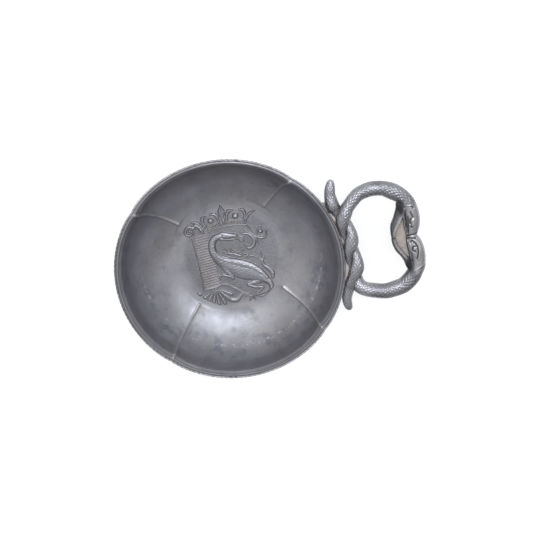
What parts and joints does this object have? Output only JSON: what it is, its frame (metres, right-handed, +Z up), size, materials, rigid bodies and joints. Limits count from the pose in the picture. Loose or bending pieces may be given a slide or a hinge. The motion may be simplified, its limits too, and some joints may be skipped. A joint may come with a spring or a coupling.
{
  "type": "wine taster",
  "caption": "Shallow round pewter wine taster with pressed ridges, a corded rim, a relief roundel on its floor and a finger-loop handle of two entwined snakes.",
  "frame": {"origin": "centre of the bowl's flat underside", "axes": "+X from the bowl's centre towards the handle, +Y towards the top of the relief roundel, +Z up out of the bowl's mouth"},
  "size_m": [0.128, 0.095, 0.0249],
  "materials": {
    "pewter": "satin",
    "pewter_bright": "satin",
    "pewter_relief": "satin",
    "pewter_dull": "satin",
    "pewter_snake": "satin",
    "solder": "matte",
    "deposit": "matte"
  },
  "bodies": {
    "root": {"bowl": "pewter", "rim_cord": "pewter_bright", "crest_roundel": "pewter_relief", "solder_bed": "solder", "handle_saddle": "pewter_dull", "upper_snake": "pewter_snake", "lower_snake": "pewter_snake", "mouth_web": "deposit"}
  },
  "joints": []
}
